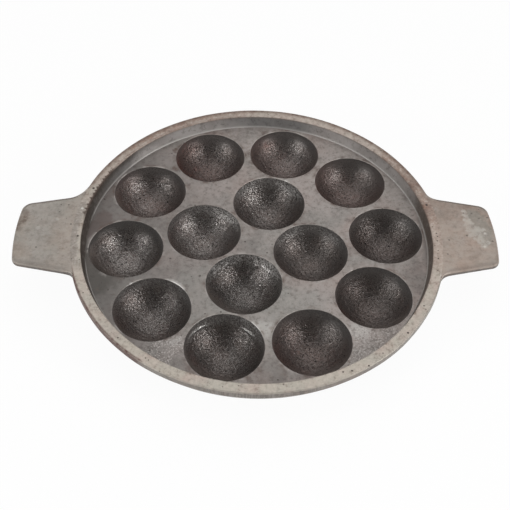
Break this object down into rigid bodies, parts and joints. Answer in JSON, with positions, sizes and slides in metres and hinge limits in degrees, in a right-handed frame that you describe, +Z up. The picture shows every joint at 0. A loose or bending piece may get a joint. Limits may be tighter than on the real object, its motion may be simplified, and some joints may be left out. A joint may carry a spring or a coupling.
{
  "type": "paniyaram pan",
  "caption": "Round cast-iron paniyaram pan: rings of ball-shaped batter cups sunk in a shallow rimmed tray, with a flat lug handle on each side.",
  "frame": {"origin": "on the pan's upright axis, in the plane of the flats under the cups that it stands on", "axes": "+Z up out of the tray, +X towards the right handle, +Y away from the viewer"},
  "size_m": [0.2984, 0.23, 0.0312],
  "materials": {
    "rim_iron": "ground, matt, with fine pits",
    "ground_iron": "ground smooth, satin, with stains",
    "cup_iron": "rough dark cast skin, seasoned",
    "handle_iron": "as cast, matt, pitted"
  },
  "bodies": {
    "root": {"rim": "rim_iron", "griddle_plate": "ground_iron", "right_handle": "handle_iron", "left_handle": "handle_iron", "inner_cup_01": "cup_iron", "inner_cup_02": "cup_iron", "inner_cup_03": "cup_iron", "inner_cup_04": "cup_iron", "outer_cup_01": "cup_iron", "outer_cup_02": "cup_iron", "outer_cup_03": "cup_iron", "outer_cup_04": "cup_iron", "outer_cup_05": "cup_iron", "outer_cup_06": "cup_iron", "outer_cup_07": "cup_iron", "outer_cup_08": "cup_iron", "outer_cup_09": "cup_iron", "outer_cup_10": "cup_iron"}
  },
  "joints": []
}
